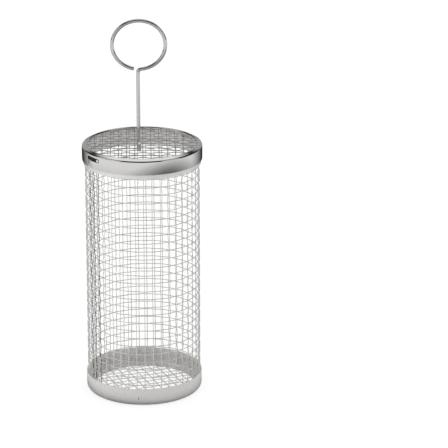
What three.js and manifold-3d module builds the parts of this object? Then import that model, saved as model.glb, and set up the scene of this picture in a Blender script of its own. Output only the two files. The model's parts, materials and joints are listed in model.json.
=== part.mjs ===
// Round wire-mesh basket with a bayonet lid and a wire lifting hook.
// Millimetres, +Z up. The origin is the centre of the basket's underside, and the front is -Y.
// Azimuths are degrees from the front, positive to the right (+X) as seen from the front.

import * as THREE from 'three';
import { mergeGeometries, mergeVertices } from 'three/addons/utils/BufferGeometryUtils.js';
import Module from 'manifold-3d';

const wasm = await Module();
wasm.setup();

// ---- Driving dimensions ----

const ROUND_SEGMENTS = 64; // facets round every ring and tube
const SHEET = 0.5; // thickness of the pressed sheet
const GAP = 0.3; // clearance between pieces that touch

const MESH_PITCH = 6.25; // centre to centre of the mesh wires
const MESH_WIRE = 0.65; // diameter of the mesh wires
const WALL_RADIUS = 44.8; // outside of the mesh wall
const WALL_THICKNESS = 0.3;
const WALL_BOTTOM = 3.2;
const WALL_TOP = 198.8;

const BAND_INNER_RADIUS = WALL_RADIUS + GAP; // the sheet rings hug the mesh wall
const BAND_OUTER_RADIUS = BAND_INNER_RADIUS + SHEET;

const BOTTOM_RING_HEIGHT = 14.3;
const BOTTOM_CORNER_RADIUS = 4.2; // outside radius of the rolled lower corner
const BOTTOM_OPENING_RADIUS = 40.0;
const BOTTOM_MESH_RADIUS = 42.4;
const BOTTOM_MESH_TURN = 20; // its wires run askew to the front, in degrees

const TOP_BAND_BOTTOM = 186.3;
const TOP_BAND_TOP = 199.6;

const LID_SKIRT_BOTTOM = 189.7;
const LID_SKIRT_TOP = 199.6; // where the rolled shoulder starts
const LID_OUTER_RADIUS = 46.7;
const LID_SHOULDER_RADIUS = 1.4; // outside radius of the bend from the skirt to the crown
const LID_CROWN_SLOPE = 27.5; // degrees that the sheet rises from the shoulder inwards
const LID_CREST_RADIUS = 0.9; // outside radius of the bend from the crown down to the mesh
const LID_OPENING_RADIUS = 42.6;
const LID_MESH_RADIUS = 44.0;
const LID_MESH_TOP = 200.2;

const PEG_AZIMUTH = -47.4;
const PEG_HEIGHT = 196.8; // centre of the pegs above the base
const PEG_HEAD_RADIUS = 1.3;
const PEG_HEAD_REACH = 47.0; // distance of the head's face from the basket's axis
const PEG_SHANK_RADIUS = 0.9;
const PEG_INNER_HEAD_RADIUS = 1.6;
const PEG_INNER_HEAD_THICKNESS = 0.8;
const PEG_SEGMENTS = 16;
const TWIST = 14; // turn between locked and free, in degrees

const HOOK_WIRE = 2.8; // diameter of the hook's wire
const HOOK_SIDES = 10;
const SHANK_X = -2.6;
const FINGER_RING_CENTRE_X = -1.86;
const FINGER_RING_TOP = 300.4;
const FINGER_RING_HALF_WIDTH = 20.5; // of the wire's centre line
const FINGER_RING_HALF_HEIGHT = 19.1;
const FINGER_RING_END_ANGLE = 348.4; // where the free end stops, counted round from the foot of the ring
const SHANK_BEND_RADIUS = 2.6;
const CURL_WIDTH = 5.0; // shank to tip, across the lid wire that the curl goes round
const CURL_TIP_X = -2.0;
const CURL_TIP_TOP = 202.7;
const CURL_WIRE_Y = -2.1; // the lid wire that the curl goes round

// ---- Solids ----

const radians = THREE.MathUtils.degToRad;

// Polar angle from +X of an azimuth from the front.
const polar = (azimuth) => radians(azimuth - 90);

// Turns a closed geometry into a manifold solid.
function toSolid(geometry) {
  const bare = geometry.clone();
  bare.deleteAttribute('normal');
  bare.deleteAttribute('uv');
  const merged = mergeVertices(bare, 1e-4);
  return new wasm.Manifold(new wasm.Mesh({
    numProp: 3,
    vertProperties: new Float32Array(merged.attributes.position.array),
    triVerts: new Uint32Array(merged.index.array),
  }));
}

// Turns a manifold solid back into a geometry.
function toGeometry(solid) {
  const mesh = solid.getMesh();
  const geometry = new THREE.BufferGeometry();
  geometry.setAttribute('position', new THREE.BufferAttribute(new Float32Array(mesh.vertProperties), 3));
  geometry.setIndex(new THREE.BufferAttribute(new Uint32Array(mesh.triVerts), 1));
  geometry.computeVertexNormals();
  return geometry;
}

// Cuts each tool out of a body.
function cut(body, tools) {
  let solid = toSolid(body);
  for (const tool of tools) {
    solid = solid.subtract(toSolid(tool));
  }
  return toGeometry(solid);
}

// Spins a closed (radius, height) outline round the +Z axis.
function spin(outline) {
  const points = outline.map(([radius, height]) => new THREE.Vector2(radius, height));
  points.push(points[0].clone());
  const geometry = new THREE.LatheGeometry(points, ROUND_SEGMENTS);
  geometry.rotateX(Math.PI / 2);
  return geometry;
}

// Points on an arc of a (radius, height) outline, from one angle to another.
function arc(centreRadius, centreHeight, radius, fromDegrees, toDegrees, steps) {
  return Array.from({ length: steps + 1 }, (_, i) => {
    const angle = radians(fromDegrees + (toDegrees - fromDegrees) * i / steps);
    return [centreRadius + radius * Math.cos(angle), centreHeight + radius * Math.sin(angle)];
  });
}

// A plain tube with its axis on +Z.
function tube(innerRadius, outerRadius, bottom, top) {
  return spin([[innerRadius, bottom], [outerRadius, bottom], [outerRadius, top], [innerRadius, top]]);
}

// A piece of a thick cylinder between two azimuths.
function sector(innerRadius, outerRadius, fromAzimuth, toAzimuth, bottom, top) {
  const shape = new THREE.Shape();
  shape.absarc(0, 0, outerRadius, polar(fromAzimuth), polar(toAzimuth), false);
  shape.absarc(0, 0, innerRadius, polar(toAzimuth), polar(fromAzimuth), true);
  shape.closePath();
  const geometry = new THREE.ExtrudeGeometry(shape, { depth: top - bottom, bevelEnabled: false });
  geometry.translate(0, 0, bottom);
  return geometry;
}

// Stands a geometry made round +Z on a radius of the basket, at an azimuth and a height.
function pointOutwards(geometry, azimuth, height) {
  geometry.rotateY(Math.PI / 2);
  geometry.rotateZ(polar(azimuth));
  geometry.translate(0, 0, height);
  return geometry;
}

// A radial drill through the basket's wall at each peg.
function pegDrills() {
  const depth = 6;
  return [PEG_AZIMUTH, PEG_AZIMUTH + 180].map((azimuth) => {
    const drill = new THREE.CylinderGeometry(PEG_SHANK_RADIUS + GAP, PEG_SHANK_RADIUS + GAP, depth, PEG_SEGMENTS);
    drill.rotateX(Math.PI / 2);
    drill.translate(0, 0, WALL_RADIUS);
    return pointOutwards(drill, azimuth, PEG_HEIGHT);
  });
}

// A disc of square mesh: a plate with one square hole between each four wires.
function meshDisc(radius, bottom, wireX, wireY, turn) {
  const hole = MESH_PITCH - MESH_WIRE;
  const reach = Math.ceil(radius / MESH_PITCH);
  const holes = [];
  for (let column = -reach; column <= reach; column += 1) {
    for (let row = -reach; row <= reach; row += 1) {
      const x = wireX + (column + 0.5) * MESH_PITCH;
      const y = wireY + (row + 0.5) * MESH_PITCH;
      const farCorner = Math.hypot(Math.abs(x) + hole / 2, Math.abs(y) + hole / 2);
      if (farCorner < radius - MESH_WIRE) {
        const punch = new THREE.BoxGeometry(hole, hole, 2 * MESH_WIRE);
        punch.translate(x, y, 0);
        holes.push(punch);
      }
    }
  }
  const plate = new THREE.CylinderGeometry(radius, radius, MESH_WIRE, ROUND_SEGMENTS);
  plate.rotateX(Math.PI / 2);
  const geometry = cut(plate, [mergeGeometries(holes)]);
  geometry.rotateZ(radians(turn));
  geometry.translate(0, 0, bottom + MESH_WIRE / 2);
  return geometry;
}

// ---- Basket ----

// The rolled mesh wall, drilled for the two pegs.
function wallMesh() {
  return cut(tube(WALL_RADIUS - WALL_THICKNESS, WALL_RADIUS, WALL_BOTTOM, WALL_TOP), pegDrills());
}

function bottomMesh() {
  return meshDisc(BOTTOM_MESH_RADIUS, SHEET + GAP, MESH_PITCH / 2, MESH_PITCH / 2, BOTTOM_MESH_TURN);
}

// The foot ring: a wall, a rolled corner and a flange turned inwards.
function bottomRing() {
  const cornerCentre = BAND_OUTER_RADIUS - BOTTOM_CORNER_RADIUS;
  const innerCornerRadius = BOTTOM_CORNER_RADIUS - SHEET;
  const steps = 5;
  return spin([
    [BOTTOM_OPENING_RADIUS, 0],
    ...arc(cornerCentre, BOTTOM_CORNER_RADIUS, BOTTOM_CORNER_RADIUS, -90, 0, steps),
    [BAND_OUTER_RADIUS, BOTTOM_RING_HEIGHT],
    [BAND_INNER_RADIUS, BOTTOM_RING_HEIGHT],
    ...arc(cornerCentre, BOTTOM_CORNER_RADIUS, innerCornerRadius, 0, -90, steps),
    [BOTTOM_OPENING_RADIUS, SHEET],
  ]);
}

// The plain band round the mouth, drilled for the two pegs.
function topBand() {
  return cut(tube(BAND_INNER_RADIUS, BAND_OUTER_RADIUS, TOP_BAND_BOTTOM, TOP_BAND_TOP), pegDrills());
}

// A peg riveted through the band and the mesh: inner head, shank and outer head.
function bayonetPeg(azimuth) {
  const innerHeadTop = WALL_RADIUS - WALL_THICKNESS - GAP;
  const outerHeadBottom = BAND_OUTER_RADIUS + GAP;
  const outline = [
    [0, innerHeadTop - PEG_INNER_HEAD_THICKNESS],
    [PEG_INNER_HEAD_RADIUS, innerHeadTop - PEG_INNER_HEAD_THICKNESS],
    [PEG_INNER_HEAD_RADIUS, innerHeadTop],
    [PEG_SHANK_RADIUS, innerHeadTop],
    [PEG_SHANK_RADIUS, outerHeadBottom],
    [PEG_HEAD_RADIUS, outerHeadBottom],
    [PEG_HEAD_RADIUS, PEG_HEAD_REACH - GAP],
    [PEG_HEAD_RADIUS - GAP, PEG_HEAD_REACH],
    [0, PEG_HEAD_REACH],
  ].map(([radius, height]) => new THREE.Vector2(radius, height));
  const geometry = new THREE.LatheGeometry(outline, PEG_SEGMENTS);
  geometry.rotateX(Math.PI / 2);
  return pointOutwards(geometry, azimuth, PEG_HEIGHT);
}

// ---- Lid ----

// The cutters of one L-shaped bayonet slot: the run that a peg turns in, and the way in from below.
function slotCutters(pegAzimuth) {
  const innerRadius = BAND_OUTER_RADIUS;
  const outerRadius = LID_OUTER_RADIUS + SHEET;
  const halfHeight = PEG_HEAD_RADIUS + GAP;
  const halfAngle = THREE.MathUtils.radToDeg(halfHeight / LID_OUTER_RADIUS);
  const entry = pegAzimuth - TWIST;
  const below = LID_SKIRT_BOTTOM - SHEET;
  return [
    sector(innerRadius, outerRadius, entry - halfAngle, pegAzimuth + halfAngle,
      PEG_HEIGHT - halfHeight, PEG_HEIGHT + halfHeight),
    sector(innerRadius, outerRadius, entry - halfAngle, entry + halfAngle, below, PEG_HEIGHT),
  ];
}

// The lid's ring: a skirt with two slots, a rolled shoulder, and a crown that rises inwards to a crest
// and turns down on the mesh.
function lidRing() {
  const bend = 90 - LID_CROWN_SLOPE; // where the shoulder's arc ends and the crest's starts
  const shoulderCentre = LID_OUTER_RADIUS - LID_SHOULDER_RADIUS;
  const crestCentre = LID_OPENING_RADIUS + LID_CREST_RADIUS;
  const inwards = shoulderCentre - crestCentre;
  const rise = (LID_SHOULDER_RADIUS - LID_CREST_RADIUS + inwards * Math.cos(radians(bend))) / Math.sin(radians(bend));
  const crestHeight = LID_SKIRT_TOP + rise;
  const lipBottom = LID_MESH_TOP + GAP;
  const steps = 4;
  const body = spin([
    [LID_OUTER_RADIUS - SHEET, LID_SKIRT_BOTTOM],
    [LID_OUTER_RADIUS, LID_SKIRT_BOTTOM],
    ...arc(shoulderCentre, LID_SKIRT_TOP, LID_SHOULDER_RADIUS, 0, bend, steps),
    ...arc(crestCentre, crestHeight, LID_CREST_RADIUS, bend, 180, steps),
    [LID_OPENING_RADIUS, lipBottom],
    [LID_OPENING_RADIUS + SHEET, lipBottom],
    ...arc(crestCentre, crestHeight, LID_CREST_RADIUS - SHEET, 180, bend, steps),
    ...arc(shoulderCentre, LID_SKIRT_TOP, LID_SHOULDER_RADIUS - SHEET, bend, 0, steps),
  ]);
  return cut(body, [...slotCutters(PEG_AZIMUTH), ...slotCutters(PEG_AZIMUTH + 180)]);
}

function lidMesh() {
  return meshDisc(LID_MESH_RADIUS, LID_MESH_TOP - MESH_WIRE, SHANK_X + MESH_PITCH / 2, CURL_WIRE_Y, 0);
}

// ---- Lifting hook ----

// Centre line: up from the curl's tip, round under a lid wire, up the shank and round the finger ring.
function hookCentreLine() {
  const points = [];
  const add = (x, y, z) => points.push(new THREE.Vector3(x, y, z));

  const curlRadius = CURL_WIDTH / 2;
  const curlHeight = LID_MESH_TOP - MESH_WIRE - GAP;
  const curlSteps = 8;
  add(CURL_TIP_X, -CURL_WIDTH, CURL_TIP_TOP);
  for (let i = 0; i <= curlSteps; i += 1) {
    const angle = Math.PI * (1 + i / curlSteps);
    const x = CURL_TIP_X + (SHANK_X - CURL_TIP_X) * i / curlSteps;
    add(x, -curlRadius + curlRadius * Math.cos(angle), curlHeight + curlRadius * Math.sin(angle));
  }

  const ringHeight = FINGER_RING_TOP - HOOK_WIRE / 2 - FINGER_RING_HALF_HEIGHT;
  const ringFoot = ringHeight - FINGER_RING_HALF_HEIGHT;
  const bendSteps = 5;
  const bendHeight = ringFoot - SHANK_BEND_RADIUS;
  const shankSteps = 3;
  for (let i = 1; i < shankSteps; i += 1) {
    add(SHANK_X, 0, curlHeight + (bendHeight - curlHeight) * i / shankSteps);
  }
  for (let i = 0; i < bendSteps; i += 1) {
    const angle = Math.PI / 2 * i / bendSteps;
    const x = SHANK_X + SHANK_BEND_RADIUS * (1 - Math.cos(angle));
    add(x, 0, bendHeight + SHANK_BEND_RADIUS * Math.sin(angle));
  }

  const ringSteps = 52;
  const startAngle = Math.asin((SHANK_X + SHANK_BEND_RADIUS - FINGER_RING_CENTRE_X) / FINGER_RING_HALF_WIDTH);
  const endAngle = radians(FINGER_RING_END_ANGLE);
  for (let i = 0; i <= ringSteps; i += 1) {
    const angle = startAngle + (endAngle - startAngle) * i / ringSteps;
    const x = FINGER_RING_CENTRE_X + FINGER_RING_HALF_WIDTH * Math.sin(angle);
    add(x, 0, ringHeight - FINGER_RING_HALF_HEIGHT * Math.cos(angle));
  }
  return points;
}

function liftHook() {
  const points = hookCentreLine();
  const path = new THREE.CatmullRomCurve3(points, false, 'centripetal');
  path.getUtoTmapping = (u) => u; // one step of the tube from each point to the next
  const section = new THREE.Shape();
  section.absarc(0, 0, HOOK_WIRE / 2, 0, 2 * Math.PI, false);
  return new THREE.ExtrudeGeometry(section, {
    steps: points.length - 1,
    curveSegments: HOOK_SIDES / 2,
    bevelEnabled: false,
    extrudePath: path,
  });
}

// ---- Assembly ----

const MESH_LOOK = { color: 0xa9a6a1, roughness: 0.32, metalness: 1 };
const SHEET_LOOK = { color: 0xc9c6c2, roughness: 0.22, metalness: 1 };
const PEG_LOOK = { color: 0xdad8d4, roughness: 0.2, metalness: 1 };
const HOOK_LOOK = { color: 0xa8a49d, roughness: 0.28, metalness: 1 };

function part(name, geometry, look) {
  const mesh = new THREE.Mesh(geometry, new THREE.MeshStandardMaterial(look));
  mesh.name = name;
  return mesh;
}

const basket = new THREE.Group();
basket.add(
  part('wall_mesh', wallMesh(), MESH_LOOK),
  part('bottom_mesh', bottomMesh(), MESH_LOOK),
  part('bottom_ring', bottomRing(), SHEET_LOOK),
  part('top_band', topBand(), SHEET_LOOK),
  part('bayonet_peg_front', bayonetPeg(PEG_AZIMUTH), PEG_LOOK),
  part('bayonet_peg_rear', bayonetPeg(PEG_AZIMUTH + 180), PEG_LOOK),
);

const lid = new THREE.Group();
lid.add(
  part('lid_ring', lidRing(), SHEET_LOOK),
  part('lid_mesh', lidMesh(), MESH_LOOK),
  part('lift_hook', liftHook(), HOOK_LOOK),
);

const group = new THREE.Group();
group.add(basket, lid);

export default group;
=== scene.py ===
"""Looks of a round wire-mesh basket with a bayonet lid and a wire lifting hook.

Everything is in metres in the CAD frame: +Z up, the front at -Y. Azimuths are in degrees from the
front, positive to the right (+X) as seen from the front.
"""

import json
import math

import bmesh
import bpy
import numpy as np
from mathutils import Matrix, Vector
from mathutils.geometry import delaunay_2d_cdt


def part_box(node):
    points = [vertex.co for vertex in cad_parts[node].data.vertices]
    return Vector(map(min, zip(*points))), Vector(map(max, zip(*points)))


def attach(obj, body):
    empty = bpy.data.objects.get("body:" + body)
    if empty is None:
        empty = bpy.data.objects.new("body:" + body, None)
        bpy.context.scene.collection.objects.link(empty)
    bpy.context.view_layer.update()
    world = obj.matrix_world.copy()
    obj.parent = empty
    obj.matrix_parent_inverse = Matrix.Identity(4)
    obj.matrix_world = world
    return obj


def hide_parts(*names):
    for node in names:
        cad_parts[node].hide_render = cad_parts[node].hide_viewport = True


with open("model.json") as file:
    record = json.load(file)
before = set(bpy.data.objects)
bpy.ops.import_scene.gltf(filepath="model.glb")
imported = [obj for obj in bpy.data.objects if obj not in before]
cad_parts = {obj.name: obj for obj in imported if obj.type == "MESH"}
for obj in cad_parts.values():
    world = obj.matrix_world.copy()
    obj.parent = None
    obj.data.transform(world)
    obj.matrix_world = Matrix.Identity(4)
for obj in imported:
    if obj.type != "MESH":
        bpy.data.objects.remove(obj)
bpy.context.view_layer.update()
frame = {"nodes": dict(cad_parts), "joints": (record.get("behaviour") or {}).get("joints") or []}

MM = 0.001
TAU = 2 * math.pi

# ---- Sizes from the CAD frame ----

BOXES = {node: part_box(node) for node in frame["nodes"]}


def outer_radius(node):
    return BOXES[node][1].x


def low(node):
    return BOXES[node][0].z


def high(node):
    return BOXES[node][1].z


def azimuth_of(node):
    """Azimuth of the middle of a node that lies on one radius of the basket."""
    vertices = frame["nodes"][node].data.vertices
    centre = sum((v.co for v in vertices), Vector()) / len(vertices)
    return math.degrees(math.atan2(centre.x, -centre.y))


def joint_named(name):
    return next(joint for joint in frame["joints"] if joint["name"] == name)


TWIST = joint_named("lid_twist")["range_deg"][1]
PEG_NODES = ("bayonet_peg_front", "bayonet_peg_rear")
PEG_HEIGHT = (low(PEG_NODES[0]) + high(PEG_NODES[0])) / 2

# ---- Driving sizes of the fine shapes ----

SHEET = 0.5 * MM
MESH_WIRE = 0.65 * MM
CRIMP = MESH_WIRE / 2  # how far a woven wire swings to each side of the mesh's middle
MESH_PITCH = 6.25 * MM  # of the lid's and the bottom's mesh
HOOP_STEP = 6.48 * MM
FRONT_HOOP = 10.54 * MM  # height of the lowest hoop at upright number 0
HOOP_FALL = 0.063 * MM  # how much lower a hoop lies at each next upright: the mesh is rolled a little askew
UPRIGHT_STEP = 8.36  # degrees between the wall's uprights
FRONT_UPRIGHT = 0.8  # azimuth of upright number 0
FIRST_UPRIGHT = -8  # the inner end of the rolled mesh
LAST_SHADED = -6  # the uprights of the inner end, under the outer one, with shade painted dark into their colour
LAST_UPRIGHT = 37  # the outer end, which lies over the inner one
CLOSER_FROM = 22  # past this upright the mesh is squeezed a little round the curve
CLOSER_BY = 0.0141  # degrees, times the square of the uprights past it
DIP_FROM = -3.5  # the inner end dips under the outer one from here
DIP_WHOLE = -6.0
DIP_TURN = 3.2  # degrees that the dip carries the inner end on
LAYER = 2.1 * MESH_WIRE  # from the middle of one layer of mesh to the middle of the next

# ---- Points ----


def on_circle(azimuth, radius, height):
    """Points round the basket's axis, from arrays or numbers."""
    angle = np.radians(np.asarray(azimuth, float))
    radius, height = np.asarray(radius, float), np.asarray(height, float)
    parts = np.broadcast_arrays(radius * np.sin(angle), -radius * np.cos(angle), height)
    return np.stack(parts, axis=-1)


def arc(centre, radius, start, end, steps):
    """Points of a flat arc; angles in degrees from the first coordinate's direction."""
    angles = np.radians(np.linspace(start, end, steps + 1))
    return [(centre[0] + radius * math.cos(a), centre[1] + radius * math.sin(a)) for a in angles]


def smoothstep(value):
    value = np.clip(value, 0, 1)
    return value * value * (3 - 2 * value)


def rounded(corners, steps=6):
    """A polyline through (x, y, reach) corners, each rounded off over its reach to both sides."""
    points = [corners[0][:2]]
    for before, corner, after in zip(corners, corners[1:], corners[2:]):
        here, reach = Vector(corner[:2]), corner[2]
        start = here + (Vector(before[:2]) - here).normalized() * reach
        end = here + (Vector(after[:2]) - here).normalized() * reach
        for share in np.linspace(0, 1, steps + 1):
            points.append(tuple(start.lerp(here, share).lerp(here.lerp(end, share), share)))
    points.append(corners[-1][:2])
    return points


# ---- Mesh building ----

SHARP_EDGE = math.radians(40)


def new_piece(name, vertices, faces, body, slot, node=None, finish=None):
    """Makes a smooth-shaded mesh piece that rides on a body and stands for a CAD node.

    Its material is the finish of its slot, or another one by name.
    """
    mesh = bpy.data.meshes.new(name)
    mesh.from_pydata([tuple(v) for v in vertices], [], faces)
    mesh.validate()
    mesh.shade_smooth()
    mesh.set_sharp_from_angle(angle=SHARP_EDGE)
    piece = bpy.data.objects.new(name, mesh)
    bpy.context.scene.collection.objects.link(piece)
    piece.data.materials.append(FINISHES[finish or slot])
    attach(piece, body)
    if node:
        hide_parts(node)
    return piece


def sweep(points, radii, sides):
    """Vertices and faces of one round wire along a list of points."""
    points = np.asarray(points, float)
    tangents = np.gradient(points, axis=0)
    tangents /= np.linalg.norm(tangents, axis=1)[:, None]
    side = np.cross(tangents[0], (0.31, 0.87, 0.38))
    rings = []
    angles = np.linspace(0, TAU, sides, endpoint=False)
    for point, tangent, radius in zip(points, tangents, radii):
        side = side - np.dot(side, tangent) * tangent
        side /= np.linalg.norm(side)
        other = np.cross(tangent, side)
        rings.append(point + radius * (np.outer(np.cos(angles), side) + np.outer(np.sin(angles), other)))
    count = len(points)
    faces = [tuple(range(sides - 1, -1, -1)), tuple(range((count - 1) * sides, count * sides))]
    for ring in range(count - 1):
        a, b = ring * sides, (ring + 1) * sides
        for i in range(sides):
            j = (i + 1) % sides
            faces.append((a + i, a + j, b + j, b + i))
    return np.concatenate(rings), faces


def cut_end(points, radius):
    """Adds the small burr-free chamfer of a cut wire at both ends, and gives each point's radius."""
    points = np.asarray(points, float)
    step = 0.25 * radius
    first = points[0] - points[1]
    last = points[-1] - points[-2]
    head = points[0] + first / np.linalg.norm(first) * step
    tail = points[-1] + last / np.linalg.norm(last) * step
    radii = [0.8 * radius] + [radius] * len(points) + [0.8 * radius]
    return np.vstack([head, points, tail]), radii


def wires(paths, radius, sides):
    """All the wires of one family as one set of vertices and faces."""
    vertices, faces, offset = [], [], 0
    for path in paths:
        ring_points, ring_faces = sweep(*cut_end(path, radius), sides)
        vertices.append(ring_points)
        faces += [tuple(i + offset for i in face) for face in ring_faces]
        offset += len(ring_points)
    return np.concatenate(vertices), faces


def lathe(outline, segments=256):
    """Vertices and faces of a closed (radius, height) outline spun round +Z."""
    azimuths = np.linspace(0, 360, segments, endpoint=False)
    vertices = np.concatenate([on_circle(azimuths, r, z) for r, z in outline])
    faces = []
    for ring in range(len(outline)):
        a, b = ring * segments, (ring + 1) % len(outline) * segments
        for i in range(segments):
            j = (i + 1) % segments
            faces.append((a + i, a + j, b + j, b + i))
    return vertices, faces


# ---- Materials ----


def add(tree, kind, inputs=None, **settings):
    """Adds a node; an input takes a value or another node's output."""
    node = tree.nodes.new(kind)
    for name, value in settings.items():
        setattr(node, name, value)
    for name, value in (inputs or {}).items():
        if isinstance(value, bpy.types.NodeSocket):
            tree.links.new(value, node.inputs[name])
        else:
            node.inputs[name].default_value = value
    return node


def remap(tree, value, low_out, high_out, low_in=0.3, high_in=0.7):
    """low_out where the value is low_in or less, high_out where it is high_in or more, even in between."""
    ranged = add(tree, "ShaderNodeMapRange", {
        "Value": value,
        "From Min": low_in,
        "From Max": high_in,
        "To Min": low_out,
        "To Max": high_out,
    })
    return ranged.outputs["Result"]


def times(tree, first, second):
    return add(tree, "ShaderNodeMath", {0: first, 1: second}, operation="MULTIPLY").outputs[0]


def cylinder_coordinates(tree):
    """Angle from +X in radians, radius and height of the point shaded, round the basket's axis."""
    place = add(tree, "ShaderNodeTexCoord").outputs["Object"]
    split = add(tree, "ShaderNodeSeparateXYZ", {"Vector": place})
    turn = add(tree, "ShaderNodeMath", {0: split.outputs["Y"], 1: split.outputs["X"]}, operation="ARCTAN2")
    flat = add(tree, "ShaderNodeCombineXYZ", {"X": split.outputs["X"], "Y": split.outputs["Y"]})
    length = add(tree, "ShaderNodeVectorMath", {0: flat.outputs[0]}, operation="LENGTH")
    return turn.outputs[0], length.outputs["Value"], split.outputs["Z"]


def brushed_coordinates(tree, along, across):
    """Coordinates in which noise draws lines that run round the basket."""
    turn, radius, height = cylinder_coordinates(tree)
    joined = add(tree, "ShaderNodeCombineXYZ", {
        "X": times(tree, turn, along),
        "Y": times(tree, radius, across),
        "Z": times(tree, height, across),
    })
    return joined.outputs[0]


def noise(tree, vector, scale, detail=2.0):
    inputs = {"Vector": vector, "Scale": scale, "Detail": detail, "Roughness": 0.55}
    return add(tree, "ShaderNodeTexNoise", inputs).outputs["Fac"]


# Near-black, dull colour of the painted shade in the bayonet slots.
SLOT_SHADE_COLOUR = (0.012, 0.011, 0.010, 1)


def steel(name, light, dark, roughness, bump, fine, broad, metallic=1.0, painted_shade=None):
    """Stainless steel, from the light to the dark tone and from the low to the high roughness.

    fine and broad make the coordinates and scale of its two patterns; the last argument is the mask of a
    painted shade, a near-black colour laid over the steel.
    """
    material = bpy.data.materials.new(name)
    material.use_nodes = True
    tree = material.node_tree
    tree.nodes.clear()
    fine_noise = noise(tree, *fine(tree), detail=3.0)
    broad_noise = noise(tree, *broad(tree))
    patches = remap(tree, broad_noise, 0.0, 1.0)
    colour = add(tree, "ShaderNodeMix", {"Factor": patches}, data_type="RGBA")
    colour.inputs["A"].default_value = (*dark, 1)
    colour.inputs["B"].default_value = (*light, 1)
    mixed = add(tree, "ShaderNodeMath", {0: fine_noise, 1: broad_noise}, operation="ADD")
    rough = remap(tree, mixed.outputs[0], *roughness, low_in=0.75, high_in=1.25)
    bumped = add(tree, "ShaderNodeBump", {"Height": fine_noise, "Strength": bump, "Distance": 0.02 * MM})
    shader = add(tree, "ShaderNodeBsdfPrincipled", {
        "Base Color": colour.outputs["Result"],
        "Metallic": metallic,
        "Roughness": rough,
        "Normal": bumped.outputs[0],
    })
    surface = shader.outputs[0]
    if painted_shade:
        # Painted shade: a near-black dull surface mixed over the steel where the mask says.
        shade_bsdf = add(tree, "ShaderNodeBsdfPrincipled", {"Base Color": SLOT_SHADE_COLOUR, "Roughness": 0.7})
        covered = add(tree, "ShaderNodeMixShader", {0: painted_shade(tree), 1: surface, 2: shade_bsdf.outputs[0]})
        surface = covered.outputs[0]
    output = add(tree, "ShaderNodeOutputMaterial")
    tree.links.new(surface, output.inputs["Surface"])
    return material


def brushed(along, across):
    """A pattern of fine lines round the basket."""
    return lambda tree: (brushed_coordinates(tree, along, across), 1.0)


def spotted(scale):
    """A pattern of even spots."""
    return lambda tree: (add(tree, "ShaderNodeTexCoord").outputs["Object"], scale)


def within(tree, value, middle, half, soft):
    """1 where the value is within half of the middle, falling to 0 over a soft edge."""
    off = add(tree, "ShaderNodeMath", {0: value, 1: middle}, operation="SUBTRACT").outputs[0]
    size = add(tree, "ShaderNodeMath", {0: off}, operation="ABSOLUTE").outputs[0]
    return remap(tree, size, 1.0, 0.0, low_in=half - soft, high_in=half + soft)


SLOT_SHADE_HALF_TURN = 10.2  # degrees of full painted shade to each side of a slot's middle
SLOT_SHADE_FADE_TURN = 11.5  # degrees to each side where the painted shade ends
SLOT_SHADE_HALF_HEIGHT = 2.0 * MM
SLOT_SHADE_EDGE = 0.3 * MM


def painted_slot_shade(tree):
    """Painted shade on the top band, where the slots leave it bare beside the two pegs: the band is made
    black in its colour there.
    """
    turn, radius, height = cylinder_coordinates(tree)
    slot_middle = math.radians(azimuth_of(PEG_NODES[0]) - TWIST / 2 - 90)
    off = add(tree, "ShaderNodeMath", {0: turn, 1: slot_middle}, operation="SUBTRACT").outputs[0]
    facing = add(tree, "ShaderNodeMath", {0: off}, operation="COSINE").outputs[0]
    near = add(tree, "ShaderNodeMath", {0: facing}, operation="ABSOLUTE").outputs[0]  # at both slots
    fade, black = math.cos(math.radians(SLOT_SHADE_FADE_TURN)), math.cos(math.radians(SLOT_SHADE_HALF_TURN))
    beside = remap(tree, near, 0.0, 1.0, low_in=fade, high_in=black)
    level = within(tree, height, PEG_HEIGHT, SLOT_SHADE_HALF_HEIGHT, SLOT_SHADE_EDGE)
    skin = outer_radius("top_band")
    outside = remap(tree, radius, 0.0, 1.0, low_in=skin - 0.2 * MM, high_in=skin - 0.1 * MM)
    return times(tree, times(tree, beside, level), outside)


FINISHES = {
    "mesh_wire": steel("mesh_wire", (0.86, 0.85, 0.83), (0.78, 0.77, 0.75), (0.22, 0.36), 0.25,
                       spotted(2600), spotted(70), metallic=0.45),
    # Painted shade: a near-black copy of the wire's steel, for the wires in shadow under the lap's outer
    # end.
    "shaded_wire": steel("shaded_wire", (0.16, 0.15, 0.14), (0.10, 0.095, 0.09), (0.30, 0.45), 0.25,
                         spotted(2600), spotted(70), metallic=0.6),
    "lid_wire": steel("lid_wire", (0.60, 0.59, 0.575), (0.54, 0.53, 0.515), (0.20, 0.32), 0.15,
                      spotted(2600), spotted(70), metallic=0.8),
    "lid_sheet": steel("lid_sheet", (0.79, 0.785, 0.775), (0.75, 0.745, 0.73), (0.07, 0.14), 0.08,
                       brushed(14, 5200), spotted(45)),
    # The band's steel, with painted shade where the slots leave it bare.
    "band_sheet": steel("band_sheet", (0.88, 0.87, 0.86), (0.83, 0.82, 0.81), (0.24, 0.36), 0.16,
                        brushed(12, 4200), spotted(60), metallic=0.35, painted_shade=painted_slot_shade),
    "weld_scale": steel("weld_scale", (0.22, 0.20, 0.19), (0.12, 0.11, 0.10), (0.45, 0.6), 0.3,
                        spotted(2600), spotted(300)),
    "peg_steel": steel("peg_steel", (0.86, 0.85, 0.84), (0.80, 0.79, 0.78), (0.12, 0.22), 0.10,
                       spotted(3200), spotted(300)),
    "hook_wire": steel("hook_wire", (0.68, 0.665, 0.64), (0.65, 0.635, 0.61), (0.08, 0.13), 0.02,
                       spotted(1500), spotted(60), metallic=0.85),
}

# ---- Wall mesh ----

random = np.random.default_rng(11)
WIRE_SIDES = 8
WIRE_STEPS = 6  # stretches of wire between two crossings


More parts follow.
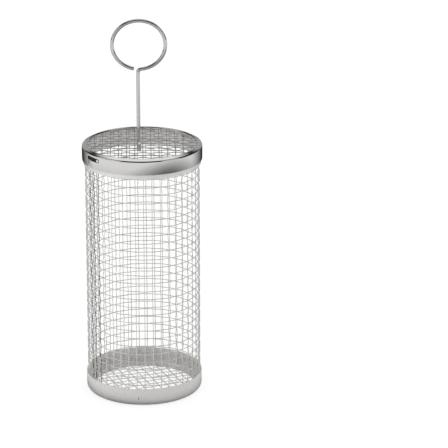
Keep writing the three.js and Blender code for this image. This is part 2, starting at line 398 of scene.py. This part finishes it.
def wobble(values, wave, amount):
    """A slow random wander along a wire, made of a long and a shorter wave."""
    phases = random.uniform(0, TAU, 2)
    long_wave = np.sin(TAU * values / wave + phases[0])
    short_wave = np.sin(TAU * values / wave * 1.7 + phases[1])
    return amount * (long_wave + 0.6 * short_wave)


def dip(number):
    """How far the mesh has dipped under its own outer end, from 0 to 1."""
    return smoothstep((DIP_FROM - np.asarray(number, float)) / (DIP_FROM - DIP_WHOLE))


def upright_azimuth(number):
    """Azimuth of an upright, counted from the front, or of a place between two."""
    past = np.maximum(0, np.asarray(number, float) - CLOSER_FROM)
    even = FRONT_UPRIGHT + UPRIGHT_STEP * np.asarray(number, float)
    return even - CLOSER_BY * past**2 - DIP_TURN * dip(number)


def middle_radius(number):
    """Radius of the middle of the mesh at an upright, or between two."""
    return outer_radius("wall_mesh") - MESH_WIRE - LAYER * dip(number)


def first_hoop(number):
    """Height of the lowest hoop at an upright."""
    return FRONT_HOOP - HOOP_FALL * np.asarray(number, float)


def upright_paths(first, last):
    """The uprights from one number to another, each woven over and under the hoops."""
    bottom, top = low("wall_mesh"), high("wall_mesh") - MESH_WIRE / 2
    heights = np.linspace(bottom, top, round((top - bottom) / HOOP_STEP * WIRE_STEPS))
    for number in range(first, last + 1):
        swing = CRIMP * (-1) ** number * np.cos(math.pi * (heights - first_hoop(number)) / HOOP_STEP)
        azimuth = upright_azimuth(number) + wobble(heights, 130 * MM, 0.12)
        yield on_circle(azimuth, middle_radius(number) + swing, heights)


def hoop_paths():
    """The hoops, each once round and over its own start, woven over and under the uprights."""
    tail = 0.45  # how far a cut hoop sticks out past the last upright, in uprights
    first, last = FIRST_UPRIGHT - tail, LAST_UPRIGHT + tail
    numbers = np.linspace(first, last, round((last - first) * WIRE_STEPS))
    count = int((high("wall_mesh") - first_hoop(first)) / HOOP_STEP) + 1
    for hoop in range(count):
        swing = -CRIMP * (-1) ** hoop * np.cos(math.pi * numbers)
        heights = first_hoop(numbers) + hoop * HOOP_STEP + wobble(numbers, 23, 0.08 * MM)
        yield on_circle(upright_azimuth(numbers), middle_radius(numbers) + swing, heights)


# The inner end's uprights take the shaded_wire finish, which paints their shade into their colour.
inner_end = wires(upright_paths(FIRST_UPRIGHT, LAST_SHADED), MESH_WIRE / 2, WIRE_SIDES)
outer_wires = wires(upright_paths(LAST_SHADED + 1, LAST_UPRIGHT), MESH_WIRE / 2, WIRE_SIDES)
hoops = wires(hoop_paths(), MESH_WIRE / 2, WIRE_SIDES)
new_piece("wall_inner_end", *inner_end, "basket", "mesh_wire", "wall_mesh", finish="shaded_wire")
new_piece("wall_uprights", *outer_wires, "basket", "mesh_wire", "wall_mesh")
new_piece("wall_hoops", *hoops, "basket", "mesh_wire", "wall_mesh")

# ---- Mesh discs ----

DISC_STEPS = 8  # stretches of wire between two crossings
DISC_SIDES = 10


def disc_paths(radius, height, first_x, first_y, turn):
    """Woven wires of a round disc of mesh, turned round +Z by some degrees.

    Before the turn, one wire lies at first_x and one wire of the other family at first_y.
    """
    cos, sin = math.cos(math.radians(turn)), math.sin(math.radians(turn))
    for family, (first, other_first) in enumerate(((first_x, first_y), (first_y, first_x))):
        lowest = math.ceil((-radius - first) / MESH_PITCH)
        beyond = math.ceil((radius - first) / MESH_PITCH)
        for number in range(lowest, beyond):
            across = first + number * MESH_PITCH
            reach = math.sqrt(radius**2 - across**2)
            if reach <= MESH_PITCH / 2:
                continue  # too short to be held by a crossing wire
            along = np.linspace(-reach, reach, round(2 * reach / MESH_PITCH * DISC_STEPS))
            wave = np.cos(math.pi * (along - other_first) / MESH_PITCH)
            swing = (-1) ** (number + family) * CRIMP * wave
            wander = across + wobble(along, 60 * MM, 0.05 * MM)
            x, y = (wander, along) if family == 0 else (along, wander)
            yield np.stack([x * cos - y * sin, x * sin + y * cos, height + swing], axis=-1)


LID_MESH_RADIUS = outer_radius("lid_mesh") - 0.6 * MM
LID_MESH_HEIGHT = high("lid_mesh") - 0.4 * MM
SHANK_X = -2.6 * MM  # of the hook, which passes midway between two lid wires
CURL_WIRE_Y = -2.1 * MM  # the lid wire that the hook goes round
lid_paths = disc_paths(LID_MESH_RADIUS, LID_MESH_HEIGHT, SHANK_X + MESH_PITCH / 2, CURL_WIRE_Y, 0)
lid_wires = wires(lid_paths, MESH_WIRE / 2, DISC_SIDES)
new_piece("lid_mesh_wires", *lid_wires, "lid", "mesh_wire", "lid_mesh", finish="lid_wire")

BOTTOM_MESH_RADIUS = outer_radius("bottom_mesh") - 0.2 * MM
BOTTOM_MESH_HEIGHT = SHEET + MESH_WIRE + 0.05 * MM
BOTTOM_MESH_TURN = 20  # degrees
bottom_paths = disc_paths(
    BOTTOM_MESH_RADIUS, BOTTOM_MESH_HEIGHT, MESH_PITCH / 2, MESH_PITCH / 2, BOTTOM_MESH_TURN,
)
bottom_wires = wires(bottom_paths, MESH_WIRE / 2, DISC_SIDES)
new_piece("bottom_mesh_wires", *bottom_wires, "basket", "mesh_wire", "bottom_mesh")

# ---- Foot ring and top band ----

EDGE = 0.12 * MM  # rounding of the sheet's cut edges
BAND_INNER_RADIUS = outer_radius("top_band") - SHEET


def sheet_edge(inner, outer, height, up):
    """The rounded edge of an upright sheet, from its outside to its inside for up, else the other way."""
    if up:
        first, last, level, start = outer - EDGE, inner + EDGE, height - EDGE, 0
    else:
        first, last, level, start = inner + EDGE, outer - EDGE, height + EDGE, 180
    points = arc((first, level), EDGE, start, start + 90, 3)
    return points + arc((last, level), EDGE, start + 90, start + 180, 3)


def foot_ring_outline():
    """The foot ring's section: the flange's rim, the corner's outside, the top edge and the inside."""
    outer, top = outer_radius("bottom_ring"), high("bottom_ring")
    corner = 4.2 * MM
    opening = 40.0 * MM
    centre = (outer - corner, corner)
    return [
        *arc((opening + SHEET / 2, SHEET / 2), SHEET / 2, 90, 270, 6),
        *arc(centre, corner, -90, 0, 14),
        *sheet_edge(outer - SHEET, outer, top, True),
        *arc(centre, corner - SHEET, 0, -90, 14),
    ]


def top_band_outline():
    """The top band's section, a plain upright sheet."""
    inner, outer = BAND_INNER_RADIUS, outer_radius("top_band")
    return [
        *sheet_edge(inner, outer, low("top_band"), False),
        *sheet_edge(inner, outer, high("top_band"), True),
    ]


new_piece("foot_ring", *lathe(foot_ring_outline()), "basket", "band_sheet", "bottom_ring")
new_piece("mouth_band", *lathe(top_band_outline()), "basket", "band_sheet", "top_band")

# ---- Weld mark on the foot ring ----

WELD_AZIMUTH = -6
WELD_BOTTOM = 5.3 * MM
WELD_TOP = 7.9 * MM
WELD_RADIUS = 0.26 * MM
WELD_SINK = 0.06 * MM  # how far its middle line lies under the ring's surface
WELD_STEPS = 9
WELD_SIDES = 12

weld_heights = np.linspace(WELD_BOTTOM, WELD_TOP, WELD_STEPS)
weld_swell = np.sqrt(np.clip(1 - np.linspace(-1, 1, WELD_STEPS) ** 2, 0.15, 1))
weld_points = on_circle(WELD_AZIMUTH, outer_radius("bottom_ring") - WELD_SINK, weld_heights)
weld_bead = sweep(weld_points, WELD_RADIUS * weld_swell, WELD_SIDES)
new_piece("foot_weld", *weld_bead, "basket", "band_sheet", finish="weld_scale")

# ---- Bayonet pegs ----

PEG_SIDES = 40


def peg_outline():
    """(radius round the peg, distance from the basket's axis), from the inner head's middle outwards."""
    inner_face = 42.5 * MM
    inner_head, shank, outer_head = 1.6 * MM, 0.9 * MM, 1.3 * MM
    inner_rim = 43.3 * MM
    outer_seat = outer_radius("top_band") + 0.3 * MM
    reach = 47.0 * MM
    round_edge = 0.35 * MM
    return [
        (0, inner_face),
        *[(inner_head * math.sin(a), inner_rim - (inner_rim - inner_face) * math.cos(a))
          for a in np.radians(np.arange(15, 91, 15))],
        (inner_head, inner_rim + 0.2 * MM),
        (shank, inner_rim + 0.2 * MM),
        (shank, outer_seat),
        (outer_head, outer_seat),
        *arc((outer_head - round_edge, reach - round_edge), round_edge, 0, 80, 5),
        (0, reach),
    ]


def weld(piece):
    """Joins the points that lie on one another, such as a ring of no radius."""
    mesh = bmesh.new()
    mesh.from_mesh(piece.data)
    bmesh.ops.remove_doubles(mesh, verts=mesh.verts, dist=1e-7)
    bmesh.ops.recalc_face_normals(mesh, faces=mesh.faces)
    mesh.to_mesh(piece.data)
    mesh.free()


def peg(name, node):
    """A riveted peg: its outline spun round the line from the basket's axis out to the peg."""
    outline = peg_outline()
    azimuth = math.radians(azimuth_of(node))
    outwards = Vector((math.sin(azimuth), -math.cos(azimuth), 0))
    sideways = Vector((math.cos(azimuth), math.sin(azimuth), 0))
    vertices = []
    for radius, distance in outline:
        for i in range(PEG_SIDES):
            angle = TAU * i / PEG_SIDES
            across = sideways * (radius * math.cos(angle)) + Vector((0, 0, radius * math.sin(angle)))
            vertices.append(outwards * distance + across + Vector((0, 0, PEG_HEIGHT)))
    faces = []
    for ring in range(len(outline) - 1):
        a, b = ring * PEG_SIDES, (ring + 1) * PEG_SIDES
        for i in range(PEG_SIDES):
            j = (i + 1) % PEG_SIDES
            faces.append((a + i, b + i, b + j, a + j))
    weld(new_piece(name, vertices, faces, "basket", "peg_steel", node))


peg("peg_front", PEG_NODES[0])
peg("peg_rear", PEG_NODES[1])

# ---- Lid ring ----

LID_RADIUS = outer_radius("lid_ring")
LID_SHOULDER = 1.4 * MM
LID_CREST = 0.9 * MM
LID_OPENING = 42.6 * MM
CROWN_SLOPE = 27.5  # degrees that the sheet rises from the shoulder inwards
SKIRT_BOW = 0.10 * MM  # the skirt bulges outwards by this much at its middle
SLOT_HALF = 1.6 * MM  # half the slots' width
SLOT_LIP = 0.5 * MM  # rounding of a slot's way in at the lower edge
SLOT_CORNER = 0.8 * MM
SLOT_END = 1.5 * MM  # rounding of the closed end
EDGE_GAP = 0.3 * MM  # least distance along the lower edge from a slot to the next column's point
INNER_GAP = 0.35 * MM  # least distance from a slot to a point inside the pattern
SEAM = 40  # azimuth where the flat pattern of the ring starts and ends
COLUMN = 1.5  # degrees from one column of the pattern's points to the next

BEND = math.radians(90 - CROWN_SLOPE)  # where the shoulder's arc ends and the crest's starts
shoulder_centre = LID_RADIUS - SKIRT_BOW - LID_SHOULDER
crest_centre = LID_OPENING + LID_CREST
crest_height = high("lid_ring") - LID_CREST
inwards = shoulder_centre - crest_centre
skirt_low = low("lid_ring")
skirt_high = crest_height - (LID_SHOULDER - LID_CREST + inwards * math.cos(BEND)) / math.sin(BEND)
lip_low = high("lid_mesh") + 0.35 * MM

SKIRT = skirt_high - skirt_low
SHOULDER_LENGTH = LID_SHOULDER * BEND
CROWN_LENGTH = (inwards + (LID_SHOULDER - LID_CREST) * math.cos(BEND)) / math.sin(BEND)
CREST_LENGTH = LID_CREST * (math.pi - BEND)
LIP_LENGTH = crest_height - lip_low
ARC_PER_DEGREE = LID_RADIUS * math.pi / 180


def lid_profile(s):
    """(radius, height, outward radius, outward height) at a length s up the sheet's outside."""
    if s <= SKIRT:
        across = 2 * s / SKIRT - 1
        slope = 4 * SKIRT_BOW * across / SKIRT
        size = math.hypot(1, slope)
        return LID_RADIUS - SKIRT_BOW * across**2, skirt_low + s, 1 / size, slope / size
    s -= SKIRT
    if s <= SHOULDER_LENGTH + CROWN_LENGTH:
        turn = min(s / LID_SHOULDER, BEND)
        on = max(0, s - SHOULDER_LENGTH)
        out, up = math.cos(turn), math.sin(turn)
        radius = shoulder_centre + LID_SHOULDER * out - on * up
        height = skirt_high + LID_SHOULDER * up + on * out
        return radius, height, out, up
    s -= SHOULDER_LENGTH + CROWN_LENGTH
    turn = min(BEND + s / LID_CREST, math.pi)
    out, up = math.cos(turn), math.sin(turn)
    down = max(0, s - CREST_LENGTH)
    return crest_centre + LID_CREST * out, crest_height + LID_CREST * up - down, out, up


def lid_rows():
    """Lengths of the pattern's rows up the sheet: few on the flat parts, many on the bends."""
    sections = ((SKIRT, 8), (SHOULDER_LENGTH, 10), (CROWN_LENGTH, 3), (CREST_LENGTH, 10), (LIP_LENGTH, 2))
    rows = [0]
    for length, steps in sections:
        rows += list(np.linspace(rows[-1], rows[-1] + length, steps + 1)[1:])
    return rows


def slot_middles(peg_azimuth):
    """Where the middles of a slot's level run, closed end and way in lie on the flat pattern."""
    return PEG_HEIGHT - skirt_low, peg_azimuth * ARC_PER_DEGREE, (peg_azimuth - TWIST) * ARC_PER_DEGREE


def slot_outline(peg_azimuth):
    """An L-shaped slot of the flat pattern, from the bottom edge round to the bottom edge."""
    run, end, entry = slot_middles(peg_azimuth)
    return rounded([
        (entry - SLOT_HALF - 2 * SLOT_LIP, 0, 0),
        (entry - SLOT_HALF, 0, SLOT_LIP),
        (entry - SLOT_HALF, run + SLOT_HALF, SLOT_CORNER),
        (end + SLOT_HALF, run + SLOT_HALF, SLOT_END),
        (end + SLOT_HALF, run - SLOT_HALF, SLOT_END),
        (entry + SLOT_HALF, run - SLOT_HALF, SLOT_LIP),
        (entry + SLOT_HALF, 0, SLOT_LIP),
        (entry + SLOT_HALF + 2 * SLOT_LIP, 0, 0),
    ])


def in_slot(u, s, peg_azimuth, margin):
    """Whether a point of the pattern lies in a slot or nearer to it than the margin."""
    run, end, entry = slot_middles(peg_azimuth)
    half = SLOT_HALF + margin
    in_run = entry - half < u < end + half and abs(s - run) < half
    in_entry = abs(u - entry) < half and s < run + half
    in_mouth = abs(u - entry) < half + 2 * SLOT_LIP and s < margin + SLOT_LIP
    return in_run or in_entry or in_mouth


def lid_pattern():
    """The ring's sheet laid flat as triangles: (length round, length up) points and faces."""
    pegs = sorted(azimuth_of(node) - (360 if azimuth_of(node) > SEAM else 0) for node in PEG_NODES)
    start, end = (SEAM - 360) * ARC_PER_DEGREE, SEAM * ARC_PER_DEGREE
    rows = lid_rows()
    columns = np.linspace(start, end, round(360 / COLUMN) + 1)
    outline = [(start, 0)]
    for azimuth in pegs:
        slot = slot_outline(azimuth)
        outline += [(u, 0) for u in columns if outline[-1][0] + EDGE_GAP < u < slot[0][0] - EDGE_GAP]
        outline += slot
    outline += [(u, 0) for u in columns if outline[-1][0] + EDGE_GAP < u < end - EDGE_GAP]
    outline += [(end, s) for s in rows]
    outline += [(u, rows[-1]) for u in columns[-2:0:-1]]
    outline += [(start, s) for s in rows[:0:-1]]
    inside = [
        (u, s) for s in rows[1:-1] for u in columns[1:-1]
        if not any(in_slot(u, s, azimuth, INNER_GAP) for azimuth in pegs)
    ]
    points = [Vector((u / MM, s / MM)) for u, s in outline + inside]  # triangulated in millimetres
    found = delaunay_2d_cdt(points, [], [list(range(len(outline)))], 1, 1e-6)
    flat = [(v.x * MM, v.y * MM) for v in found[0]]
    return flat, found[2], start, end


def lid_ring_mesh():
    """Wraps the pattern round the basket's axis, gives it thickness and closes its edges."""
    flat, triangles, start, end = lid_pattern()
    first = [i for i, (u, s) in enumerate(flat) if abs(u - start) < 0.001 * MM]
    same = list(range(len(flat)))
    for i, (u, s) in enumerate(flat):
        if abs(u - end) < 0.001 * MM:
            same[i] = min(first, key=lambda j: abs(flat[j][1] - s))
    count = len(flat)
    vertices = []
    for inset in (0, SHEET):
        for u, s in flat:
            radius, height, out, up = lid_profile(s)
            place = on_circle(u / ARC_PER_DEGREE, radius - inset * out, height - inset * up)
            vertices.append(tuple(place))
    outside = [tuple(same[i] for i in face) for face in triangles]
    faces = list(outside)
    faces += [tuple(i + count for i in reversed(face)) for face in outside]
    sides = [side for face in outside for side in zip(face, face[1:] + face[:1])]
    shared = set(sides)
    faces += [(b, a, a + count, b + count) for a, b in sides if (b, a) not in shared]
    used = sorted({i for face in faces for i in face})
    place = {old: new for new, old in enumerate(used)}
    return [vertices[i] for i in used], [tuple(place[i] for i in face) for face in faces]


new_piece("lid_rim", *lid_ring_mesh(), "lid", "lid_sheet", "lid_ring")

# ---- Lifting hook ----

HOOK_RADIUS = 1.4 * MM
HOOK_SIDES = 28
TIP_STEPS = 8
CURL_STEPS = 25
BEND_STEPS = 14
RING_STEPS = 150
CURL_WIDTH = 4.8 * MM  # shank to tip, across the lid wire
CURL_TIP_X = -2.0 * MM
CURL_MIDDLE = 199.3 * MM
TIP_BEND_HEIGHT = 201.6 * MM  # where the tip starts to lean forward
TIP_BEND = 1.6 * MM
TIP_LEAN = 40  # degrees
FINGER_HALF_HEIGHT = 19.1 * MM
FINGER_END = 348.4  # where the free end stops, in degrees round from the ring's foot
SHANK_BEND = 2.6 * MM


def hook_path():
    """Centre line: from the curl's tip down and under a lid wire, up the shank, round the finger ring."""
    lowest, highest = BOXES["lift_hook"]
    ring_x = (lowest.x + highest.x) / 2
    half_width = (highest.x - lowest.x) / 2 - HOOK_RADIUS
    ring_height = highest.z - HOOK_RADIUS - FINGER_HALF_HEIGHT
    points = []
    for angle in np.radians(np.linspace(TIP_LEAN, 0, TIP_STEPS)):
        y = -CURL_WIDTH - TIP_BEND * (1 - math.cos(angle))
        points.append((CURL_TIP_X, y, TIP_BEND_HEIGHT + TIP_BEND * math.sin(angle)))
    for z in np.linspace(TIP_BEND_HEIGHT, CURL_MIDDLE, 4)[1:-1]:
        points.append((CURL_TIP_X, -CURL_WIDTH, z))
    for share in np.linspace(0, 1, CURL_STEPS):
        angle = math.pi * (1 + share)
        x = CURL_TIP_X + (SHANK_X - CURL_TIP_X) * smoothstep(share)
        reach = CURL_WIDTH / 2
        points.append((x, reach * (math.cos(angle) - 1), CURL_MIDDLE + reach * math.sin(angle)))
    bend_height = ring_height - FINGER_HALF_HEIGHT - SHANK_BEND
    for z in np.linspace(CURL_MIDDLE, bend_height, BEND_STEPS)[1:-1]:
        points.append((SHANK_X, 0, z))
    for angle in np.radians(np.linspace(0, 90, BEND_STEPS))[:-1]:
        x = SHANK_X + SHANK_BEND * (1 - math.cos(angle))
        points.append((x, 0, bend_height + SHANK_BEND * math.sin(angle)))
    start = math.asin((SHANK_X + SHANK_BEND - ring_x) / half_width)
    for angle in np.linspace(start, math.radians(FINGER_END), RING_STEPS):
        x = ring_x + half_width * math.sin(angle)
        points.append((x, 0, ring_height - FINGER_HALF_HEIGHT * math.cos(angle)))
    return np.array(points)


def hook_mesh():
    """The wire, with a plain cut at both ends."""
    return sweep(*cut_end(hook_path(), HOOK_RADIUS), HOOK_SIDES)


new_piece("hook_wire", *hook_mesh(), "hook", "hook_wire", "lift_hook")

# ---- Stage, light and camera ----


def flat_material(name, build):
    """A material whose surface is what build makes in its node tree."""
    material = bpy.data.materials.new(name)
    material.use_nodes = True
    tree = material.node_tree
    tree.nodes.clear()
    output = add(tree, "ShaderNodeOutputMaterial")
    tree.links.new(build(tree), output.inputs["Surface"])
    return material


def floor_place(tree):
    """The point of the floor shaded, and its distance from the basket's axis."""
    place = add(tree, "ShaderNodeTexCoord").outputs["Object"]
    return place, add(tree, "ShaderNodeVectorMath", {0: place}, operation="LENGTH").outputs["Value"]


def floor_foot(tree):
    """The dark ring of floor round the basket's foot, with the light floor inside and outside it."""
    _, away = floor_place(tree)
    outside = remap(tree, away, 0.02, 0.78, low_in=0.051, high_in=0.072)
    inside = remap(tree, away, 0.90, 0.02, low_in=0.039, high_in=0.043)
    return add(tree, "ShaderNodeMath", {0: outside, 1: inside}, operation="MAXIMUM").outputs[0]


def floor_sheen(tree):
    """What the steel reflects of the floor: dim at the basket's foot, behind it and near its right."""
    place, away = floor_place(tree)
    foot = remap(tree, away, 0.02, 0.84, low_in=0.050, high_in=0.064)
    near = remap(tree, away, 0.84, 0.66, low_in=0.20, high_in=0.45)
    far = remap(tree, away, 0.0, 0.32, low_in=0.45, high_in=0.85)
    level = add(tree, "ShaderNodeMath", {0: near, 1: far}, operation="ADD").outputs[0]
    level = add(tree, "ShaderNodeMath", {0: level, 1: foot}, operation="MINIMUM").outputs[0]
    split = add(tree, "ShaderNodeSeparateXYZ", {"Vector": place})
    backwards = add(tree, "ShaderNodeMath", {0: split.outputs["Y"], 1: away}, operation="DIVIDE").outputs[0]
    side = remap(tree, backwards, 1.0, 0.03, low_in=0.25, high_in=0.88)
    dim_centre = tuple(on_circle(50, 0.38, 0))
    off = add(tree, "ShaderNodeVectorMath", {0: place, 1: dim_centre}, operation="DISTANCE")
    right = remap(tree, off.outputs["Value"], 0.12, 1.0, low_in=0.13, high_in=0.62)
    return times(tree, times(tree, level, side), right)


def floor_shader(tree):
    """White to the eye with a soft contact shadow, and a sheet of soft light in reflections."""
    white = add(tree, "ShaderNodeBsdfDiffuse", {"Color": (0.35, 0.35, 0.35, 1)})
    rays = add(tree, "ShaderNodeLightPath")
    glow_level = add(tree, "ShaderNodeMix", {"Factor": rays.outputs["Is Diffuse Ray"]}, data_type="FLOAT")
    glow_level.inputs["A"].default_value = 0.76
    tree.links.new(floor_foot(tree), glow_level.inputs["B"])
    glow = add(tree, "ShaderNodeEmission", {"Strength": glow_level.outputs["Result"]})
    seen = add(tree, "ShaderNodeAddShader", {0: white.outputs[0], 1: glow.outputs[0]})
    mirrored = add(tree, "ShaderNodeEmission", {"Strength": floor_sheen(tree)})
    return add(tree, "ShaderNodeMixShader", {
        0: rays.outputs["Is Glossy Ray"], 1: seen.outputs[0], 2: mirrored.outputs[0],
    }).outputs[0]


def quad(name, corners, material):
    """A single flat face of the stage."""
    mesh = bpy.data.meshes.new(name)
    mesh.from_pydata(corners, [], [(0, 1, 2, 3)])
    mesh.materials.append(material)
    plane = bpy.data.objects.new(name, mesh)
    bpy.context.scene.collection.objects.link(plane)
    return plane


def card(name, azimuth, distance, width, bottom, top, strength):
    """An upright card that only reflections see, facing the basket."""
    middle = Vector(on_circle(azimuth, distance, 0))
    turn = math.radians(azimuth)
    half = Vector((math.cos(turn), math.sin(turn), 0)) * (width / 2)
    corners = [middle - half + Vector((0, 0, bottom)), middle + half + Vector((0, 0, bottom)),
               middle + half + Vector((0, 0, top)), middle - half + Vector((0, 0, top))]

    def glow(tree):
        return add(tree, "ShaderNodeEmission", {"Strength": strength}).outputs[0]

    plane = quad(name, [tuple(c) for c in corners], flat_material(name, glow))
    plane.visible_camera = False
    plane.visible_diffuse = False
    plane.visible_shadow = False
    return plane


def world_light():
    """White to the eye and to the floor; in reflections white overhead, grey behind and dark in front."""
    world = bpy.data.worlds.new("studio")
    world.use_nodes = True
    tree = world.node_tree
    tree.nodes.clear()
    direction = add(tree, "ShaderNodeTexCoord").outputs["Generated"]
    split = add(tree, "ShaderNodeSeparateXYZ", {"Vector": direction})
    lean = (0, 0.35, 0.94)  # the overhead light leans back
    overhead = add(tree, "ShaderNodeVectorMath", {0: direction, 1: lean}, operation="DOT_PRODUCT")
    bright = remap(tree, overhead.outputs["Value"], 0.02, 1.15, low_in=0.82, high_in=0.94)
    grey = remap(tree, split.outputs["Y"], 0.0, 0.50, low_in=0.70, high_in=0.81)
    behind = add(tree, "ShaderNodeMath", {0: bright, 1: grey}, operation="MAXIMUM").outputs[0]
    rays = add(tree, "ShaderNodeLightPath")
    strength = add(tree, "ShaderNodeMix", {"Factor": rays.outputs["Is Glossy Ray"]}, data_type="FLOAT")
    strength.inputs["A"].default_value = 1.0
    tree.links.new(behind, strength.inputs["B"])
    background = add(tree, "ShaderNodeBackground", {"Strength": strength.outputs["Result"]})
    output = add(tree, "ShaderNodeOutputWorld")
    tree.links.new(background.outputs[0], output.inputs["Surface"])
    bpy.context.scene.world = world


FLOOR_REACH = 6.0
FLOOR_HEIGHT = -0.05 * MM
floor_corners = [
    (x * FLOOR_REACH, y * FLOOR_REACH, FLOOR_HEIGHT) for x, y in ((-1, -1), (1, -1), (1, 1), (-1, 1))
]
quad("floor", floor_corners, flat_material("floor", floor_shader))
world_light()
card("left_softbox", azimuth=-70, distance=0.9, width=0.9, bottom=0.30, top=1.0, strength=0.8)
card("right_softbox", azimuth=56, distance=0.9, width=0.6, bottom=0.35, top=0.95, strength=0.8)

bpy.context.scene.view_settings.view_transform = "Standard"

CAMERA_PLACE = (-0.0028, -1.9937, 0.8087)
CAMERA_DOWN = 18.674  # degrees that it looks down
CAMERA_TURN = -1.904  # degrees that it is turned round +Z

camera_data = bpy.data.cameras.new("camera")
camera_data.lens = 216.1
camera_data.sensor_width = 36
camera_data.clip_end = 20
camera = bpy.data.objects.new("camera", camera_data)
camera.location = CAMERA_PLACE
camera.rotation_euler = (math.radians(90 - CAMERA_DOWN), 0, math.radians(CAMERA_TURN))
bpy.context.scene.collection.objects.link(camera)
bpy.context.scene.camera = camera
